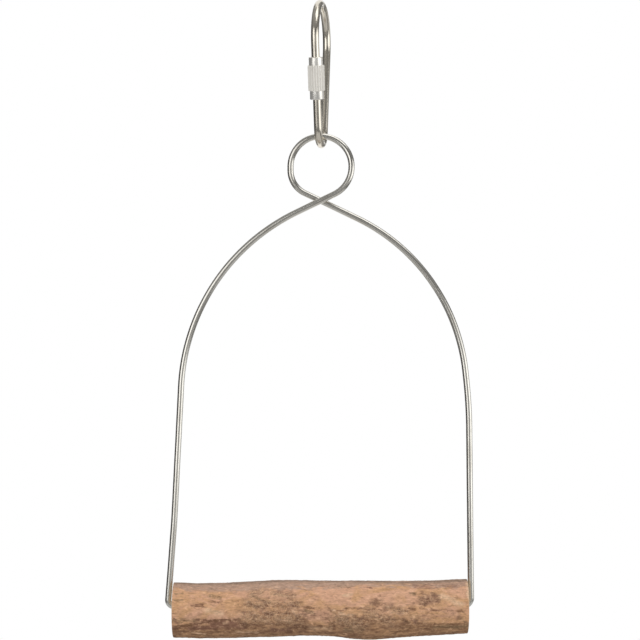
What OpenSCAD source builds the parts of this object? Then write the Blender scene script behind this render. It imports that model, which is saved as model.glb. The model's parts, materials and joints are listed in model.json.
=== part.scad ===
// Bird swing. A natural wood perch turns on the ends of one wire, which is bent into a
// pointed arch and crosses itself in a ring at the top. The ring hangs in a pear-shaped
// wire link, whose mouth is closed by a fluted sleeve on a screw thread.
// Millimetres, +Z up, the perch along X. The origin is the saddle inside the top of the
// link, where it hangs on a bar.

/* [Arch wire] */
// Diameter of the wire that the arch is bent from
wire_d = 2.5; // [2:0.1:3]
// Height from the wire at the ring's top to the perch's holes
arch_h = 187.9; // [165:0.1:260]
// Width at the perch between the centre lines of the two legs
arch_w = 121.3; // [112:0.1:156]
// How far the legs' middle at the perch lies to the left of the ring's middle
leg_shift = 0.65; // [-1:0.05:1]
// Centre-line radius of the ring
ring_r = 12.2; // [10:0.1:15]
// Centre-line radius of the ring's bend at its lower left, where it is bent a little tighter
ring_left_r = 10; // [7:0.1:10]
// Slope of both shoulders below level at the crossing, in degrees
shoulder_slope = 25.7; // [21:0.1:30]
// Gap between the two strands where they cross
cross_gap = 0.15; // [0.05:0.05:1]
// Centre-line radius of the left shoulder
left_shoulder_r = 81.5; // [60:0.5:90]
// Lean of the left leg above its knee, in degrees from upright
left_upper_lean = 2.9; // [0:0.1:6]
// Lean of the left leg below its knee, in degrees from upright
left_lower_lean = 4.4; // [0:0.1:6]
// Drop from the crossing to the left leg's slight knee
left_knee_drop = 129; // [110:0.5:132]
// Centre-line radius of the left elbow at the perch
left_elbow_r = 2.4; // [1.8:0.1:4]
// Centre-line radius of the right shoulder
right_shoulder_r = 77.5; // [60:0.5:79]
// Lean of the right leg above its knee, in degrees from upright
right_upper_lean = 6.3; // [4:0.1:8]
// Lean of the right leg below its knee, in degrees from upright
right_lower_lean = 0.6; // [0:0.1:4]
// Drop from the crossing to the right leg's slight knee
right_knee_drop = 81; // [80:0.5:120]
// Centre-line radius of the right elbow at the perch
right_elbow_r = 3.4; // [1.8:0.1:4]
// Centre-line radius of the slight knees
knee_r = 200; // [100:5:205]
// Reach of each wire end from its leg into the perch
stub_l = 14; // [8:0.5:25]

/* [Perch] */
// Nominal diameter of the branch
perch_d = 22; // [16:0.5:32]
// Least space between each sawn face and the leg that leans over it
face_gap = 0.15; // [0.1:0.05:1]
// Width of the worn edge around each sawn face
rim = 0.3; // [0.2:0.1:1.5]
// Radial clearance of a wire end in its hole
pin_clearance = 0.05; // [0.02:0.01:0.1]
// Free depth of each hole past the wire's end
hole_spare = 1.5; // [0.5:0.1:5]

/* [Screw link] */
// Diameter of the link's wire
link_wire_d = 3.2; // [2.8:0.1:3.6]
// Inside length of the link, from the hanging saddle to the ring's saddle
link_l = 52.7; // [50:0.1:70]
// Centre-line radius of the wide top bow
top_bow_r = 14.5; // [12:0.1:18]
// Centre-line radius of the narrow foot bow
foot_bow_r = 7.5; // [6:0.1:9]
// Turn of the link about the upright axis, away from square to the ring, in degrees
link_turn = 9.4; // [0:0.1:15]
// Gap between the link and the ring wire that rests in it
rest_gap = 0.3; // [0.2:0.05:0.5]
// Height of the thread's crests above the link's wire
crest_h = 0.15; // [0.1:0.01:0.25]
// Bevel at the threaded tips
tip_bevel = 0.4; // [0.2:0.1:0.8]

/* [Lock sleeve] */
// Bare straight wire above the closed sleeve
sleeve_drop = 5.5; // [4:0.1:7]
// Length of the plain collar at the top
top_collar_l = 3.2; // [2:0.1:4]
// Length of the fluted grip
grip_l = 10; // [8:0.1:11]
// Length of the plain collar at the foot
foot_collar_l = 3.4; // [2:0.1:4]
// Diameter of the collars
collar_d = 5.5; // [4.8:0.1:5.9]
// Diameter over the flutes
grip_d = 6.6; // [6.5:0.1:8]
// Number of flutes around the grip
flute_count = 20; // [12:1:22]
// Radius of each flute's hollow
flute_r = 0.4; // [0.25:0.05:0.45]
// Depth of each flute
flute_depth = 0.28; // [0.1:0.02:0.3]
// Bevel on the sleeve's edges
sleeve_bevel = 0.25; // [0.1:0.05:0.4]
// Radial clearance of the sleeve's bore on the thread's crests
sleeve_clearance = 0.05; // [0.02:0.01:0.1]
// Length of thread above the mouth that the closed sleeve holds
sleeve_hold = 4; // [3:0.1:5]
// Distance that the open sleeve keeps from the foot bow
sleeve_stop = 0.3; // [0.2:0.1:1]

/* [Hidden] */

// Facets around a wire, around a bend's full turn, and around a turned piece
wire_faces = 32;
bend_faces = 96;
turned_faces = 64;
// Overrun of every cut past the face that it opens
overrun = 1;
// Straight length left in the middle of the ring's top and of each bow of the link
bow_flat = 0.3;
// Reach of a straight wire into the bend beside it, and the step in radius between them
joint_overlap = 0.15;
joint_step = 0.01;
// Length of wire under the sleeve that the thread leaves plain at each end
thread_relief = 0.5;
// Length of the lower threaded tip that stands out of the opened sleeve
tip_show = 0.2;

// The link's plane: bows centred on the upright axis, and the straight strands between
link_wire_r = link_wire_d / 2;
crest_r = link_wire_r + crest_h;
top_bow_z = link_wire_r - top_bow_r;
foot_bow_z = foot_bow_r - link_wire_r - link_l;
strand_lean = asin((top_bow_r - foot_bow_r) / (top_bow_z - foot_bow_z));
strand_l = (top_bow_z - foot_bow_z) * cos(strand_lean);

// The sleeve and the mouth that it closes, as distances down the near strand
sleeve_l = top_collar_l + grip_l + foot_collar_l;
sleeve_travel = strand_l - sleeve_drop - sleeve_l - sleeve_stop;
upper_tip = sleeve_drop + sleeve_hold;
lower_tip = sleeve_drop + sleeve_travel - tip_show;
thread_top = sleeve_drop + thread_relief;
thread_foot = sleeve_drop + sleeve_l - thread_relief;
sleeve_bore_r = crest_r + sleeve_clearance;

// How far each leg stands from the ring's middle at the perch
left_out = arch_w / 2 + leg_shift;
right_out = arch_w / 2 - leg_shift;

// Heights of the ring's top, the crossing and the perch's holes
wire_r = wire_d / 2;
ring_top_z = rest_gap + wire_r - link_l;
crossing_z = ring_top_z - ring_r * (1 + 1 / cos(shoulder_slope));
perch_z = ring_top_z - arch_h;
// Bend radius at the ring's other corners, and the height of its two lower ones
ring_bend_r = ring_r - bow_flat / 2;
ring_corner_z = crossing_z + ring_r * tan(shoulder_slope);
// Half the spacing of the strands' centre lines at the crossing
lay = (wire_d + cross_gap) / 2;

// The branch's outline, as shares of its nominal diameter at even steps from left to
// right: how far its top and bottom lie from the holes' axis, and its front and back
top_shares = [0.43, 0.42, 0.415, 0.42, 0.44, 0.46, 0.47, 0.468, 0.46, 0.457, 0.46, 0.458,
    0.452, 0.455, 0.465, 0.478, 0.488];
bottom_shares = [0.558, 0.568, 0.572, 0.568, 0.564, 0.558, 0.54, 0.527, 0.528, 0.548, 0.592,
    0.598, 0.568, 0.545, 0.526, 0.508, 0.49];
front_shares = [0.5, 0.51, 0.51, 0.505, 0.495, 0.49, 0.495, 0.505, 0.51, 0.515, 0.51, 0.5,
    0.505, 0.51, 0.5, 0.49, 0.485];
back_shares = [0.49, 0.485, 0.49, 0.5, 0.51, 0.515, 0.505, 0.495, 0.49, 0.485, 0.5, 0.515,
    0.51, 0.5, 0.49, 0.49, 0.495];
// Low ribs along the branch: their height as a share of the radius, how many there are
// around it, and their turn from end to end in degrees
rib_share = 0.012;
rib_count = 3;
rib_turn = 150;

// The sawn faces are flat. Each stands clear of its leaning leg at the farthest point of
// its rim, so that the perch turns freely, and this is the space it leaves at the hole
function end_reach(i) = perch_d * (1 + rib_share)
    * max(top_shares[i], bottom_shares[i], front_shares[i], back_shares[i]) - rim;
function leg_space(lean, reach) = face_gap + wire_r / cos(lean) - wire_r + reach * tan(lean);
left_space = leg_space(left_lower_lean, end_reach(0));
right_space = leg_space(right_lower_lean, end_reach(len(top_shares) - 1));
perch_left = wire_r + left_space - left_out;
perch_right = right_out - wire_r - right_space;
perch_l = perch_right - perch_left;
hole_r = wire_r + pin_clearance;
// Sections along the branch and points around each
sections = 32;
section_points = 32;

function unit(v) = v / norm(v);
function bend_angle(a, b, c) = acos(unit(b - a) * unit(c - b));
function any_normal(d) = unit(cross(d, abs(d[0]) < 0.9 ? [1, 0, 0] : [0, 1, 0]));
// The matrix that puts a shape's own axes along x, y and z, and its origin at o
function placed(o, x, y, z) = [
    [x[0], y[0], z[0], o[0]],
    [x[1], y[1], z[1], o[1]],
    [x[2], y[2], z[2], o[2]],
    [0, 0, 0, 1]];

// A shape drawn along its own Z, stood at one point and aimed at another
module aimed(from, to) {
    z = unit(to - from);
    x = any_normal(z);
    multmatrix(placed(from, x, cross(z, x), z)) children();
}

// A straight round wire between two points
module straight(from, to, r) {
    aimed(from, to) cylinder(r = r, h = norm(to - from), $fn = wire_faces);
}

// The bend of a wire that runs from a to c and turns at b
module bend(a, b, c, bend_r, r) {
    before = unit(b - a);
    across = unit(cross(before, unit(c - b)));
    inward = cross(across, before);
    angle = bend_angle(a, b, c);
    centre = b - before * bend_r * tan(angle / 2) + inward * bend_r;
    multmatrix(placed(centre, -inward, before, across))
        rotate_extrude(angle = angle, $fn = bend_faces)
            translate([bend_r, 0])
                circle(r = r, $fn = wire_faces);
}

// A wire along corner points, with a bend radius at each corner between its two ends.
// The straights reach a little way into the bends, which are drawn a hair thinner
module bent_wire(points, radii, r) {
    last = len(points) - 1;
    angles = [for (i = [1:last - 1]) bend_angle(points[i - 1], points[i], points[i + 1])];
    cuts = [for (i = [1:last - 1]) radii[i - 1] * tan(angles[i - 1] / 2) - joint_overlap];
    trims = concat([0], cuts, [0]);
    for (i = [0:last - 1]) {
        along = unit(points[i + 1] - points[i]);
        straight(points[i] + along * trims[i], points[i + 1] - along * trims[i + 1], r);
    }
    for (i = [1:last - 1]) {
        bend(points[i - 1], points[i], points[i + 1], radii[i - 1], r - joint_step);
    }
}

// One leg's corners on the right-hand side: the shoulder, the knee and the elbow
function leg_corners(out, upper_lean, lower_lean, knee_drop) = let (
    knee_z = crossing_z - knee_drop,
    knee_x = out - (knee_z - perch_z) * tan(lower_lean),
    shoulder_x = (knee_x - knee_drop * tan(upper_lean))
        / (1 - tan(shoulder_slope) * tan(upper_lean)),
    shoulder_z = crossing_z - shoulder_x * tan(shoulder_slope)
) [[shoulder_x, 0, shoulder_z], [knee_x, 0, knee_z], [out, 0, perch_z]];
function mirrored(p) = [-p[0], p[1], p[2]];
// How far a ring corner lies off the arch's plane, so that its strand has the right lay
// where it crosses the upright axis on the way to a shoulder
function corner_lay(shoulder) = lay * (shoulder[0] + ring_r) / shoulder[0];

// The whole arch is one wire: in at the left hole, up the left leg, across in front and
// round the ring, back across behind, and down the right leg to the right hole
module arch_wire() {
    left = leg_corners(left_out, left_upper_lean, left_lower_lean, left_knee_drop);
    right = leg_corners(right_out, right_upper_lean, right_lower_lean, right_knee_drop);
    path = [
        [stub_l - left_out, 0, perch_z],
        mirrored(left[2]),
        mirrored(left[1]),
        mirrored(left[0]),
        [ring_r, -corner_lay(left[0]), ring_corner_z],
        [ring_r, 0, ring_top_z],
        [-ring_r, 0, ring_top_z],
        [-ring_r, corner_lay(right[0]), ring_corner_z],
        right[0],
        right[1],
        right[2],
        [right_out - stub_l, 0, perch_z]];
    radii = [left_elbow_r, knee_r, left_shoulder_r, ring_bend_r, ring_bend_r, ring_bend_r,
        ring_left_r, right_shoulder_r, knee_r, right_elbow_r];
    color("darkgray") bent_wire(path, radii, wire_r);
}

// The link is drawn in its own XZ plane, its near strand at -X, and then turned
module in_link_plane() {
    rotate([0, 0, 90 - link_turn]) children();
}

// A point of the near strand, a distance down from the end of the top bow
function on_strand(down) = [
    down * sin(strand_lean) - top_bow_r * cos(strand_lean),
    0,
    top_bow_z - top_bow_r * sin(strand_lean) - down * cos(strand_lean)];

// A threaded end of the link's wire, at the thread's crests, with a bevelled tip
module threaded_end(from, tip) {
    length = norm(tip - from);
    aimed(from, tip) rotate_extrude($fn = wire_faces)
        polygon([
            [0, 0],
            [crest_r, 0],
            [crest_r, length - tip_bevel],
            [crest_r - tip_bevel, length],
            [0, length]]);
}

// The pear-shaped link is one wire too: from the thread above the mouth over the top bow,
// down the far strand, round the foot bow and up to the thread below the mouth
module screw_link() {
    top_corner = [top_bow_r * tan((90 + strand_lean) / 2), 0, top_bow_z + top_bow_r];
    foot_corner = [foot_bow_r * tan((90 - strand_lean) / 2), 0, foot_bow_z - foot_bow_r];
    path = [
        on_strand(thread_top + joint_overlap),
        mirrored(top_corner),
        top_corner,
        foot_corner,
        mirrored(foot_corner),
        on_strand(thread_foot - joint_overlap)];
    top_bend_r = top_bow_r - bow_flat / 2;
    foot_bend_r = foot_bow_r - bow_flat / 2;
    color("silver") in_link_plane() {
        bent_wire(path, [top_bend_r, top_bend_r, foot_bend_r, foot_bend_r], link_wire_r);
        threaded_end(on_strand(thread_top), on_strand(upper_tip));
        threaded_end(on_strand(thread_foot), on_strand(lower_tip));
    }
}

// The sleeve's section beside its axis, from its foot up: collar, grip and collar
module sleeve_section() {
    grip_top = foot_collar_l + grip_l;
    collar_r = collar_d / 2;
    grip_r = grip_d / 2;
    polygon([
        [sleeve_bore_r + sleeve_bevel, 0],
        [collar_r - sleeve_bevel, 0],
        [collar_r, sleeve_bevel],
        [collar_r, foot_collar_l],
        [grip_r - sleeve_bevel, foot_collar_l],
        [grip_r, foot_collar_l + sleeve_bevel],
        [grip_r, grip_top - sleeve_bevel],
        [grip_r - sleeve_bevel, grip_top],
        [collar_r, grip_top],
        [collar_r, sleeve_l - sleeve_bevel],
        [collar_r - sleeve_bevel, sleeve_l],
        [sleeve_bore_r + sleeve_bevel, sleeve_l],
        [sleeve_bore_r, sleeve_l - sleeve_bevel],
        [sleeve_bore_r, sleeve_bevel]]);
}

// The screw sleeve, turned and then fluted, closed over the mouth
module lock_sleeve() {
    flute_centre = grip_d / 2 - flute_depth + flute_r;
    color("gainsboro") in_link_plane() aimed(on_strand(sleeve_drop + sleeve_l), on_strand(0))
        difference() {
            rotate_extrude($fn = turned_faces) sleeve_section();
            for (i = [0:flute_count - 1]) {
                rotate([0, 0, 360 * i / flute_count])
                    translate([flute_centre, 0, foot_collar_l - overrun])
                        cylinder(r = flute_r, h = grip_l + 2 * overrun, $fn = wire_faces);
            }
        }
}

// A smooth curve through a row of shares, at u from 0 to 1
function spline(t, a, b, c, d) =
    b + t * ((c - a) + t * (2 * a - 5 * b + 4 * c - d + t * (3 * b - a - 3 * c + d))) / 2;
function eased(shares, u) = let (
    last = len(shares) - 1,
    i = min(floor(u * last), last - 1)
) spline(u * last - i, shares[max(i - 1, 0)], shares[i], shares[i + 1],
    shares[min(i + 2, last)]);

// One section of the branch at x, taken in by an inset all round
function branch_section(x, inset) = let (
    u = (x - perch_left) / perch_l,
    top = perch_d * eased(top_shares, u),
    bottom = perch_d * eased(bottom_shares, u),
    front = perch_d * eased(front_shares, u),
    back = perch_d * eased(back_shares, u)
) [for (k = [0:section_points - 1]) let (
    angle = 360 * k / section_points,
    rib = 1 + rib_share * pow(cos(angle), 2) * sin(rib_count * angle + rib_turn * u)
) [
    x,
    (back - front) / 2 + rib * ((back + front) / 2 - inset) * cos(angle),
    perch_z + (top - bottom) / 2 + rib * ((top + bottom) / 2 - inset) * sin(angle)]];

// The branch: a loft through its sections, with a worn edge around each sawn face
module branch() {
    step = (perch_l - 2 * rim) / sections;
    n = section_points;
    rings = concat([branch_section(perch_left, rim)],
        [for (i = [0:sections]) branch_section(perch_left + rim + i * step, 0)],
        [branch_section(perch_right, rim)]);
    last = len(rings) - 1;
    centres = [[perch_left, 0, perch_z], [perch_right, 0, perch_z]];
    points = concat([for (ring = rings) each ring], centres);
    left_centre = len(rings) * n;
    right_centre = left_centre + 1;
    sides = [for (i = [0:last - 1], k = [0:n - 1]) let (a = i * n + k, b = i * n + (k + 1) % n)
        each [[a, b, a + n], [b, b + n, a + n]]];
    left_face = [for (k = [0:n - 1]) [left_centre, (k + 1) % n, k]];
    right_face = [for (k = [0:n - 1]) [right_centre, last * n + k, last * n + (k + 1) % n]];
    polyhedron(points = points, faces = concat(left_face, sides, right_face));
}

// A drilled hole with a worn mouth, wide enough for the wire's elbow to turn in it
module hole(elbow_r, lean, space) {
    bend_depth = max(0, elbow_r * tan((90 + lean) / 2) - wire_r - space);
    clear_r = elbow_r - sqrt(max(0, pow(elbow_r - wire_r, 2) - pow(bend_depth, 2)));
    mouth_r = clear_r + face_gap;
    mouth_l = bend_depth + face_gap;
    depth = stub_l - wire_r - space + hole_spare;
    rotate_extrude($fn = turned_faces)
        polygon([
            [0, -overrun],
            [mouth_r, -overrun],
            [mouth_r, 0],
            [hole_r, mouth_l],
            [hole_r, depth],
            [0, depth + hole_r]]);
}

// The perch: a piece of branch with a hole in each sawn face
module perch() {
    color("peru") difference() {
        branch();
        translate([perch_left, 0, perch_z]) rotate([0, 90, 0])
            hole(left_elbow_r, left_lower_lean, left_space);
        translate([perch_right, 0, perch_z]) rotate([0, -90, 0])
            hole(right_elbow_r, right_lower_lean, right_space);
    }
}

screw_link();
lock_sleeve();
arch_wire();
perch();
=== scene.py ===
import json
import math

import bpy
import numpy as np
from bpy.props import FloatProperty, FloatVectorProperty, IntProperty, PointerProperty
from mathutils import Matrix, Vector, noise
from mathutils.bvhtree import BVHTree


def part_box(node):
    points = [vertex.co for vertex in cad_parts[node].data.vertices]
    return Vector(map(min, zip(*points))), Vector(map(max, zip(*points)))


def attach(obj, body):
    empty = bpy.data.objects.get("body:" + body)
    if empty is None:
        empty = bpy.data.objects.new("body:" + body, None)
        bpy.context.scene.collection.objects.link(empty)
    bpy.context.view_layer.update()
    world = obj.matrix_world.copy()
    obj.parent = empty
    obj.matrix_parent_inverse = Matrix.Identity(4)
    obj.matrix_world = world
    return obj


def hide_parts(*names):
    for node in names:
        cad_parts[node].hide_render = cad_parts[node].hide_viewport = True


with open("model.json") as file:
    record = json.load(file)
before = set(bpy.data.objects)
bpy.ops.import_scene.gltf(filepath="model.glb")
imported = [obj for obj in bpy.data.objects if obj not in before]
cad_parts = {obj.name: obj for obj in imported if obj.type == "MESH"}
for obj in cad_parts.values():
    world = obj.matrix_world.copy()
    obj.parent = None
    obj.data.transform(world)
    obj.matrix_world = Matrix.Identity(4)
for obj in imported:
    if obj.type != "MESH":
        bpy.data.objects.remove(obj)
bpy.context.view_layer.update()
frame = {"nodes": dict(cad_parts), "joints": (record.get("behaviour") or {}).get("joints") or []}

bl_info = {
    "name": "Bird swing",
    "version": (1, 0, 0),
    "blender": (4, 5, 0),
    "location": "3D View > Sidebar > Bird swing",
    "description": "Bends the swing's wires, turns its screw sleeve and dresses its branch",
    "category": "Add Mesh",
}

MM = 0.001
FULL_TURN = 2 * math.pi
JOINTS = {joint["name"]: joint for joint in frame["joints"]}
RING_TOP_Z = JOINTS["arch_swing"]["pos_m"][2]
PERCH_Z = JOINTS["perch_turn"]["pos_m"][2]
PHOTO_PIXELS = 640
SENSOR_W = 36 * MM
# How finely the round shapes are cut
STRAIGHT_STEP, BEND_STEP = 1.5 * MM, math.radians(4)
ARCH_SIDES, LINK_SIDES, SIDES_PER_FLUTE = 40, 48, 14
RINGS_PER_PITCH = 10
PERCH_SIDES, PERCH_RINGS, BORE_RINGS, FACE_RINGS = 200, 360, 20, 38
# The floor's reach each way from its middle in metres, and how many lines of points it has
FLOOR_REACH, FLOOR_LINES = 0.5, 24
RAYS = ("Is Camera Ray", "Is Glossy Ray", "Is Transmission Ray")
# Each soft box: degrees round to the right of the camera and above level, its distance, width
# and height in metres, and its share of the boxes' brightness
SOFT_BOXES = {
    "left_box": (-37, 9.6, 1.217, 0.913, 0.904, 1),
    "right_box": (66, 6.5, 1.21, 0.968, 0.78, 0.82),
    "high_box": (60, 66, 2.0, 1.4, 1.5, 1),
}
# A hair's breadth for sharp steps, and the length over which the drawn wire wanders
HAIR, WANDER_STEP = 0.02 * MM, 14 * MM
# The depth over which the front's and the back's marks fade in, how many marks the back
# gets, and the seed of everything that is drawn
MARKS_FADE, BACK_MARKS, DRAW_SEED = 2 * MM, 90, 8


# Properties


def length(name, description, mm):
    """A length that the panel shows, given in millimetres."""
    return FloatProperty(name=name, description=description, default=mm * MM,
                         unit="LENGTH", subtype="DISTANCE", precision=5)


def lean(name, description, degrees):
    """An angle that the panel shows, given in degrees."""
    return FloatProperty(name=name, description=description, default=math.radians(degrees),
                         unit="ROTATION", subtype="ANGLE")


def linear(code):
    """The linear colour of a six-figure colour code."""
    parts = [int(code[i:i + 2], 16) / 255 for i in (0, 2, 4)]
    return [p / 12.92 if p <= 0.04045 else ((p + 0.055) / 1.055) ** 2.4 for p in parts]


def colour(name, description, code):
    """A colour that the panel shows."""
    return FloatVectorProperty(name=name, description=description, default=linear(code),
                               subtype="COLOR", size=3, min=0, max=1)


class ArchSizes(bpy.types.PropertyGroup):
    """The one wire of the arch and its ring"""
    wire_d: length("Wire", "Diameter of the arch's wire", 2.5)
    ring_r: length("Ring", "Centre-line radius of the ring", 12.2)
    ring_left_r: length("Ring's left bend", "Radius of the ring's bend at its lower left", 10)
    width: length("Width", "Width between the legs' centre lines at the perch", 121.3)
    leg_shift: length("Leg shift", "How far the legs' middle lies left of the ring's", 0.65)
    slope: lean("Shoulder slope", "Slope of both shoulders at the crossing", 25.7)
    cross_gap: length("Crossing gap", "Gap between the strands where they cross", 0.15)
    left_shoulder_r: length("Left shoulder", "Radius of the left shoulder", 81.5)
    left_upper_lean: lean("Left upper lean", "Lean of the left leg above its knee", 2.9)
    left_lower_lean: lean("Left lower lean", "Lean of the left leg below its knee", 4.4)
    left_knee_drop: length("Left knee", "Drop from the crossing to the left knee", 129)
    left_elbow_r: length("Left elbow", "Radius of the left elbow", 2.4)
    right_shoulder_r: length("Right shoulder", "Radius of the right shoulder", 77.5)
    right_upper_lean: lean("Right upper lean", "Lean of the right leg above its knee", 6.3)
    right_lower_lean: lean("Right lower lean", "Lean of the right leg below its knee", 0.6)
    right_knee_drop: length("Right knee", "Drop from the crossing to the right knee", 81)
    right_elbow_r: length("Right elbow", "Radius of the right elbow", 3.4)
    knee_r: length("Knees", "Radius of the slight knees", 200)
    stub_l: length("Wire ends", "Reach of each wire end from its leg into the perch", 14)
    end_bevel: length("End bevel", "Bevel at the cut ends", 0.25)
    unevenness: length("Unevenness", "How far the drawn wire wanders from true", 0.03)


class LinkSizes(bpy.types.PropertyGroup):
    """The pear-shaped screw link"""
    wire_d: length("Wire", "Diameter of the link's wire", 3.2)
    inside_l: length("Inside length", "From the hanging saddle to the ring's saddle", 52.7)
    top_bow_r: length("Top bow", "Centre-line radius of the wide top bow", 14.5)
    foot_bow_r: length("Foot bow", "Centre-line radius of the narrow foot bow", 7.5)
    bow_flat: length("Bow flat", "Straight length in the middle of each bow", 0.3)
    turn: lean("Turn", "Turn of the link away from square to the ring", 9.4)
    crest_h: length("Crests", "Height of the thread's crests above the wire", 0.15)
    thread_depth: length("Thread depth", "Depth of the thread below its crests", 0.32)
    pitch: length("Thread pitch", "Distance from crest to crest", 0.6)
    tip_bevel: length("Tip bevel", "Bevel at the threaded tips", 0.4)
    upper_thread: length("Upper thread", "Length of thread above the mouth", 3.5)
    lower_thread: length("Lower thread", "Length of thread below the mouth", 5.53)


class SleeveSizes(bpy.types.PropertyGroup):
    """The fluted screw sleeve"""
    drop: length("Drop", "Bare straight wire above the closed sleeve", 5.5)
    top_collar_l: length("Top collar", "Length of the top collar", 3.2)
    grip_l: length("Grip", "Length of the fluted grip", 10)
    foot_collar_l: length("Foot collar", "Length of the foot collar", 3.4)
    collar_d: length("Collars", "Diameter of the collars", 5.5)
    grip_d: length("Over the flutes", "Diameter over the flutes", 6.6)
    bore_d: length("Bore", "Diameter of the sleeve's bore at its crests", 3.6)
    flutes: IntProperty(name="Flutes", description="Number of flutes", default=20)
    flute_r: length("Flute radius", "Radius of each flute's hollow", 0.4)
    flute_depth: length("Flute depth", "Depth of each flute", 0.28)
    edge: length("Edges", "Rounding of the sleeve's edges", 0.25)


class PerchSizes(bpy.types.PropertyGroup):
    """The surface of the branch"""
    edge: length("Worn edge", "Width of the worn edge around each sawn face", 0.3)
    bark_h: length("Bark", "Height of the bark that is left", 0.22)
    lump_h: length("Lumps", "Height of the wood's low lumps", 0.12)
    fibre_h: length("Fibres", "Height of the wood's fibres", 0.1)
    crack_h: length("Cracks", "Depth of the cracks and bruises", 0.3)
    saw_h: length("Saw marks", "Depth of the saw marks", 0.05)


class Finishes(bpy.types.PropertyGroup):
    """Colours of the metal and the wood"""
    arch_plate: colour("Arch plate", "Nickel plate of the arch", "DAD7CF")
    link_plate: colour("Link plate", "Nickel plate of the link", "E1DACC")
    sleeve_plate: colour("Sleeve plate", "Satin plate of the sleeve", "FAF7F0")
    # This colour is the dulled plate and also paints shade in the sleeve's flute hollows
    tarnish: colour("Tarnish", "The plate where it has dulled", "A59C8C")
    peeled: colour("Peeled wood", "The bare wood's light parts", "D6A789")
    peeled_warm: colour("Warm wood", "The bare wood's warmer parts", "CFA179")
    peeled_deep: colour("Deep wood", "The bare wood's darker parts", "C09478")
    bark: colour("Bark", "Brown bark along the underside", "936F54")
    bark_tan: colour("Worn bark", "The same bark where it has worn", "B48B68")
    crown: colour("Crown", "Grey-brown film along the top", "B99985")
    # This colour paints shade along the branch's very top and foot
    weathered: colour("Weathered", "The grey lines along the top and the foot", "85705F")
    # This colour is the cracks' own and also paints the shade in them and under raised edges
    dark: colour("Cracks", "Cracks and bruises", "6E4E3A")
    mauve: colour("Inner bark", "Purple-brown inner bark", "84604F")
    olive: colour("Lichen", "Olive-brown patches", "806A50")
    pale: colour("Slivers", "Pale slivers and fresh wood", "E3BE9C")
    end_wood: colour("Sawn wood", "The sawn faces", "E9D8C0")
    end_ring: colour("Growth rings", "Growth rings on the sawn faces", "C9AE90")


class StageSettings(bpy.types.PropertyGroup):
    """Camera, lights and floor"""
    distance: length("Camera distance", "From the camera to the ring's plane", 720)
    camera_x: length("Camera across", "The camera's place across the swing", -0.4)
    camera_z: length("Camera height", "The camera's height", -124.6)
    focal: FloatProperty(name="Focal length", description="The lens, in millimetres",
                         default=101.25, unit="CAMERA")
    floor_drop: length("Floor", "How far the floor lies below the perch", 220)
    room_light: FloatProperty(name="Room light", default=0.6, subtype="FACTOR",
                              description="Brightness of the even room, where white is 1")
    box_light: FloatProperty(name="Soft boxes", default=1.35, subtype="FACTOR",
                             description="Brightness of the soft boxes, where white is 1")


def settings(name):
    """The property group of that name on the scene."""
    return getattr(bpy.context.scene, "swing_" + name)


# Shader expressions


class Signal:
    """One output of a shader node. Arithmetic on signals adds Math nodes."""

    def __init__(self, finish, socket):
        self.finish = finish
        self.socket = socket

    def __add__(self, other):
        return self.finish.math("ADD", self, other)

    def __sub__(self, other):
        return self.finish.math("SUBTRACT", self, other)

    def __rsub__(self, other):
        return self.finish.math("SUBTRACT", other, self)

    def __mul__(self, other):
        return self.finish.math("MULTIPLY", self, other)

    def __abs__(self):
        return self.finish.math("ABSOLUTE", self)

    __radd__ = __add__
    __rmul__ = __mul__

    def rise(self, low, high):
        """A smooth step from 0 at low to 1 at high."""
        return self.finish.node("ShaderNodeMapRange", {"interpolation_type": "SMOOTHSTEP"},
                                value=self, from_min=low, from_max=high)


class Finish:
    """A node tree being wired up, for a material or for the world."""

    def __init__(self, owner):
        owner.use_nodes = True
        self.tree = owner.node_tree
        self.tree.nodes.clear()

    def node(self, kind, options=None, output=0, **inputs):
        """Adds a node: first its settings, then a value or a signal for each named socket.
        A name has underscores for spaces, and in_0 is the first socket."""
        made = self.tree.nodes.new(kind)
        for name, value in (options or {}).items():
            setattr(made, name, value)
        for name, value in inputs.items():
            words = name.replace("_", " ")
            socket = (made.inputs[int(name[3:])] if name.startswith("in_") else
                      next(s for s in made.inputs if s.enabled and s.name.lower() == words))
            if isinstance(value, Signal):
                self.tree.links.new(value.socket, socket)
            else:
                opaque = socket.type == "RGBA" and len(value) == 3
                socket.default_value = (*value, 1) if opaque else value
        return Signal(self, made.outputs[output]) if made.outputs else None

    def outputs(self, kind, *names, **inputs):
        """Adds a node and gives the outputs of these names."""
        made = self.node(kind, **inputs).socket.node
        return [Signal(self, made.outputs[name]) for name in names]

    def math(self, operation, *values, kind="ShaderNodeMath", output=0):
        """One Math node, or another kind that has operations."""
        inputs = {f"in_{place}": value for place, value in enumerate(values)}
        return self.node(kind, {"operation": operation}, output, **inputs)

    def vector(self, operation, *values, output=0):
        """One Vector Math node."""
        return self.math(operation, *values, kind="ShaderNodeVectorMath", output=output)

    def mix(self, factor, a, b, blend="MIX"):
        """A colour between a and b."""
        return self.node("ShaderNodeMix", {"data_type": "RGBA", "blend_type": blend},
                         output=2, factor=factor, a=a, b=b)

    def attribute(self, name, output="Fac"):
        """A named attribute of the mesh, as a number or as its Vector."""
        return self.node("ShaderNodeAttribute", {"attribute_name": name}, output)

    def cloud(self, vector, scale, detail=3.0, roughness=0.5, distortion=0.0):
        """Noise from 0 to 1 at a vector."""
        return self.node("ShaderNodeTexNoise", vector=vector, scale=scale, detail=detail,
                         roughness=roughness, distortion=distortion)

    def cover(self, height, distance, strength, **inputs):
        """Ends the material in one shader, bumped by a height over a distance in metres."""
        normal = self.node("ShaderNodeBump", height=height, distance=distance,
                           strength=strength)
        surface = self.node("ShaderNodeBsdfPrincipled", normal=normal, **inputs)
        self.node("ShaderNodeOutputMaterial", surface=surface)


def new_material(name):
    """A new material and its Finish."""
    material = bpy.data.materials.new(name)
    return material, Finish(material)


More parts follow.
